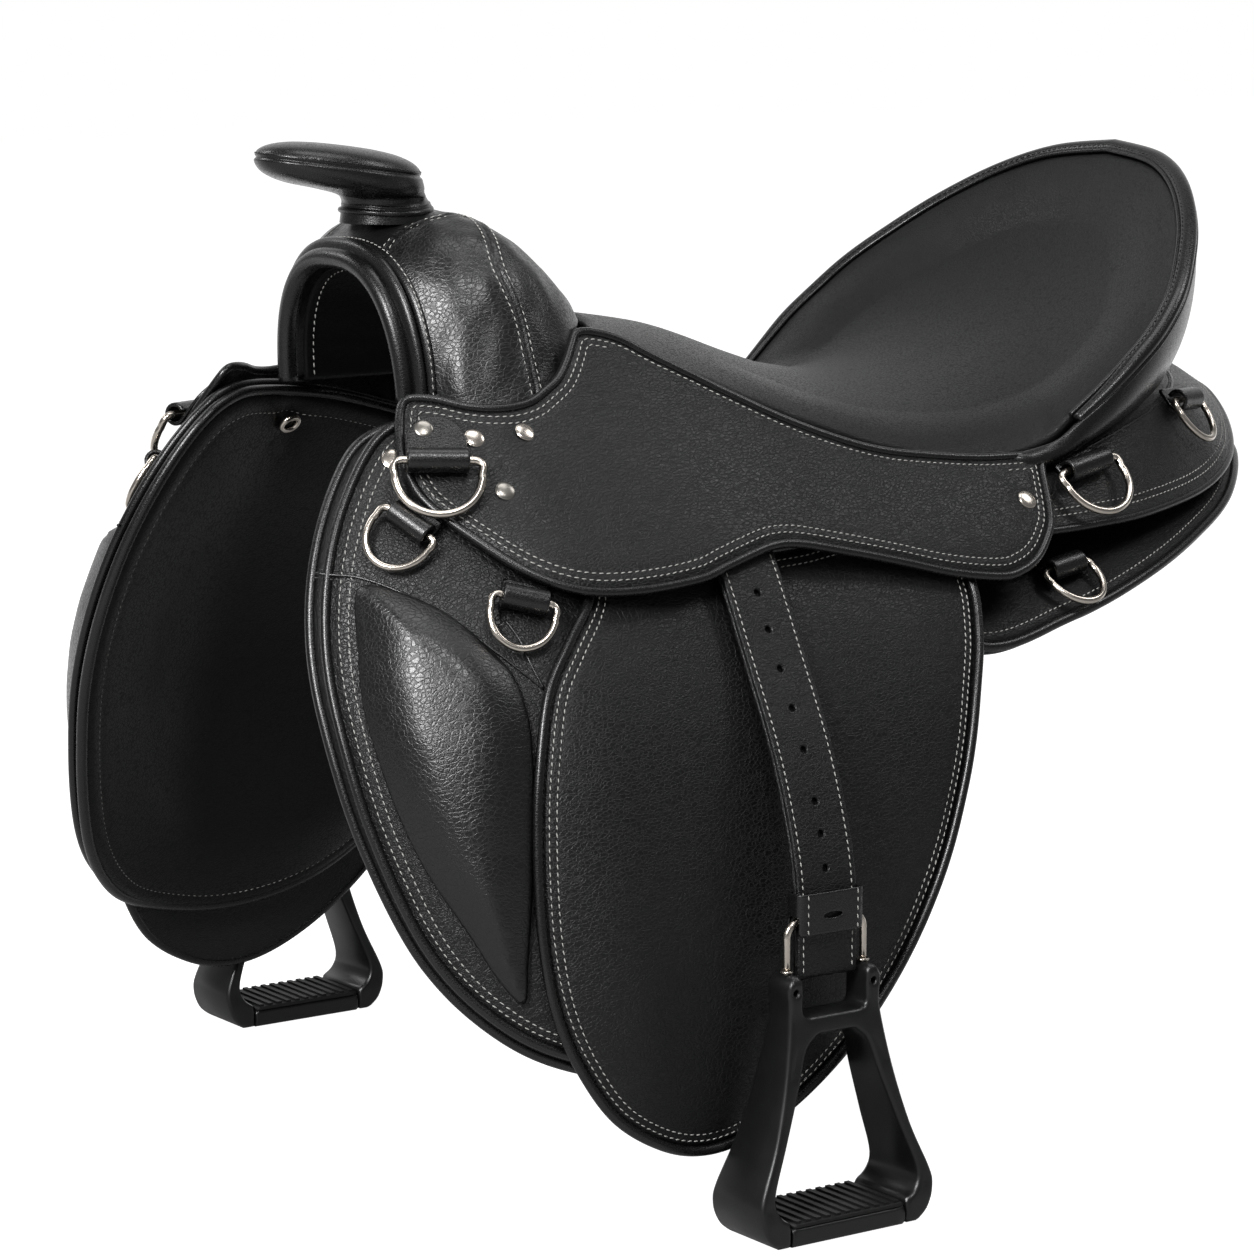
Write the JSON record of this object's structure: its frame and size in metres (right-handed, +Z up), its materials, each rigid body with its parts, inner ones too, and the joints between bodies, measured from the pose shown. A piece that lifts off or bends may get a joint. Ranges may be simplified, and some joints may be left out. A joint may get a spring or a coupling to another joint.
{
  "type": "endurance saddle",
  "caption": "Black leather endurance saddle with a horn, deep dished seat, long fenders, nickel rings and hanging stirrups.",
  "frame": {"origin": "top line of the horse's back on the centre plane, under the lowest part of the seat", "axes": "+Z up; -Y towards the horse's head; +X towards the near (left) side; symmetric about X = 0"},
  "size_m": [0.5928, 0.6967, 0.5568],
  "materials": {
    "black_leather": "grained black leather, satin",
    "panel_leather": "softer black panel leather, satin",
    "lining_leather": "smooth black lining leather",
    "piping_leather": "black rolled binding leather",
    "tree_fibre": "moulded tree shell, matt",
    "steel": "plain steel",
    "nickel": "warm nickel plate, satin",
    "moulded_black": "satin black moulding"
  },
  "bodies": {
    "saddle": {"seat_cushion": "black_leather", "saddle_tree": "tree_fibre", "swell_cover": "black_leather", "gullet_lining": "lining_leather", "pommel_arch": "steel", "arch_binding": "piping_leather", "horn_neck": "black_leather", "horn_cap": "black_leather", "cantle_binding": "piping_leather", "cantle_back": "black_leather", "rear_skirt": "black_leather", "front_panel_left": "panel_leather", "flap_left": "black_leather", "knee_block_left": "black_leather", "fender_left": "black_leather", "jockey_left": "black_leather", "back_panel_left": "panel_leather", "stirrup_bar_left": "steel", "ring_roll_pommel_left": "black_leather", "ring_roll_breast_left": "black_leather", "ring_roll_girth_front_left": "black_leather", "ring_roll_skirt_left": "black_leather", "ring_roll_crupper_left": "black_leather", "ring_roll_girth_rear_left": "black_leather", "front_panel_right": "panel_leather", "flap_right": "black_leather", "knee_block_right": "black_leather", "fender_right": "black_leather", "jockey_right": "black_leather", "back_panel_right": "panel_leather", "stirrup_bar_right": "steel", "ring_roll_pommel_right": "black_leather", "ring_roll_breast_right": "black_leather", "ring_roll_girth_front_right": "black_leather", "ring_roll_skirt_right": "black_leather", "ring_roll_crupper_right": "black_leather", "ring_roll_girth_rear_right": "black_leather"},
    "stirrup_leather_left": {"stirrup_leather_left": "black_leather", "keeper_left": "black_leather"},
    "stirrup_left": {"stirrup_bail_left": "nickel", "stirrup_frame_left": "moulded_black", "stirrup_tread_left": "moulded_black"},
    "ring_pommel_left": {"ring_pommel_left": "nickel"},
    "ring_breast_left": {"ring_breast_left": "nickel"},
    "ring_girth_front_left": {"ring_girth_front_left": "nickel"},
    "ring_skirt_left": {"ring_skirt_left": "nickel"},
    "ring_crupper_left": {"ring_crupper_left": "nickel"},
    "ring_girth_rear_left": {"ring_girth_rear_left": "nickel"},
    "stirrup_leather_right": {"stirrup_leather_right": "black_leather", "keeper_right": "black_leather"},
    "stirrup_right": {"stirrup_bail_right": "nickel", "stirrup_frame_right": "moulded_black", "stirrup_tread_right": "moulded_black"},
    "ring_pommel_right": {"ring_pommel_right": "nickel"},
    "ring_breast_right": {"ring_breast_right": "nickel"},
    "ring_girth_front_right": {"ring_girth_front_right": "nickel"},
    "ring_skirt_right": {"ring_skirt_right": "nickel"},
    "ring_crupper_right": {"ring_crupper_right": "nickel"},
    "ring_girth_rear_right": {"ring_girth_rear_right": "nickel"}
  },
  "joints": [
    {"name": "stirrup_leather_swing_left", "type": "hinge", "parent": "saddle", "child": "stirrup_leather_left", "pos_m": [0.15565, -0.115, 0.02159], "axis": [1, 0, 0], "range_deg": [-10, 10]},
    {"name": "stirrup_swing_left", "type": "hinge", "parent": "stirrup_leather_left", "child": "stirrup_left", "pos_m": [0.27295, -0.12604, -0.1885], "axis": [0, -1, 0], "range_deg": [0, 45]},
    {"name": "ring_pommel_left_swing", "type": "hinge", "parent": "saddle", "child": "ring_pommel_left", "pos_m": [0.12976, -0.26983, 0.04525], "axis": [-0.461, -0.8872, 0.0219], "range_deg": [0, 110]},
    {"name": "ring_breast_left_swing", "type": "hinge", "parent": "saddle", "child": "ring_breast_left", "pos_m": [0.13365, -0.28963, 0.01449], "axis": [-0.7407, -0.4368, 0.5105], "range_deg": [0, 110]},
    {"name": "ring_girth_front_left_swing", "type": "hinge", "parent": "saddle", "child": "ring_girth_front_left", "pos_m": [0.18239, -0.2512, -0.02213], "axis": [-0.4507, -0.8645, 0.2226], "range_deg": [0, 110]},
    {"name": "ring_skirt_left_swing", "type": "hinge", "parent": "saddle", "child": "ring_skirt_left", "pos_m": [0.16534, 0.14035, 0.01624], "axis": [0.1159, -0.9789, -0.1684], "range_deg": [0, 110]},
    {"name": "ring_crupper_left_swing", "type": "hinge", "parent": "saddle", "child": "ring_crupper_left", "pos_m": [0.12515, 0.25054, 0.04227], "axis": [0.3776, -0.9251, 0.04], "range_deg": [0, 110]},
    {"name": "ring_girth_rear_left_swing", "type": "hinge", "parent": "saddle", "child": "ring_girth_rear_left", "pos_m": [0.17875, 0.11374, -0.0374], "axis": [0.092, -0.9845, -0.1495], "range_deg": [0, 110]},
    {"name": "stirrup_leather_swing_right", "type": "hinge", "parent": "saddle", "child": "stirrup_leather_right", "pos_m": [-0.15565, -0.115, 0.02159], "axis": [-1, 0, 0], "range_deg": [-10, 10]},
    {"name": "stirrup_swing_right", "type": "hinge", "parent": "stirrup_leather_right", "child": "stirrup_right", "pos_m": [-0.27295, -0.12604, -0.1885], "axis": [0, 1, 0], "range_deg": [0, 45]},
    {"name": "ring_pommel_right_swing", "type": "hinge", "parent": "saddle", "child": "ring_pommel_right", "pos_m": [-0.12976, -0.26983, 0.04525], "axis": [-0.461, 0.8872, -0.0219], "range_deg": [0, 110]},
    {"name": "ring_breast_right_swing", "type": "hinge", "parent": "saddle", "child": "ring_breast_right", "pos_m": [-0.13365, -0.28963, 0.01449], "axis": [-0.7407, 0.4368, -0.5105], "range_deg": [0, 110]},
    {"name": "ring_girth_front_right_swing", "type": "hinge", "parent": "saddle", "child": "ring_girth_front_right", "pos_m": [-0.18239, -0.2512, -0.02213], "axis": [-0.4507, 0.8645, -0.2226], "range_deg": [0, 110]},
    {"name": "ring_skirt_right_swing", "type": "hinge", "parent": "saddle", "child": "ring_skirt_right", "pos_m": [-0.16534, 0.14035, 0.01624], "axis": [0.1159, 0.9789, 0.1684], "range_deg": [0, 110]},
    {"name": "ring_crupper_right_swing", "type": "hinge", "parent": "saddle", "child": "ring_crupper_right", "pos_m": [-0.12515, 0.25054, 0.04227], "axis": [0.3776, 0.9251, -0.04], "range_deg": [0, 110]},
    {"name": "ring_girth_rear_right_swing", "type": "hinge", "parent": "saddle", "child": "ring_girth_rear_right", "pos_m": [-0.17875, 0.11374, -0.0374], "axis": [0.092, 0.9845, 0.1495], "range_deg": [0, 110]}
  ]
}
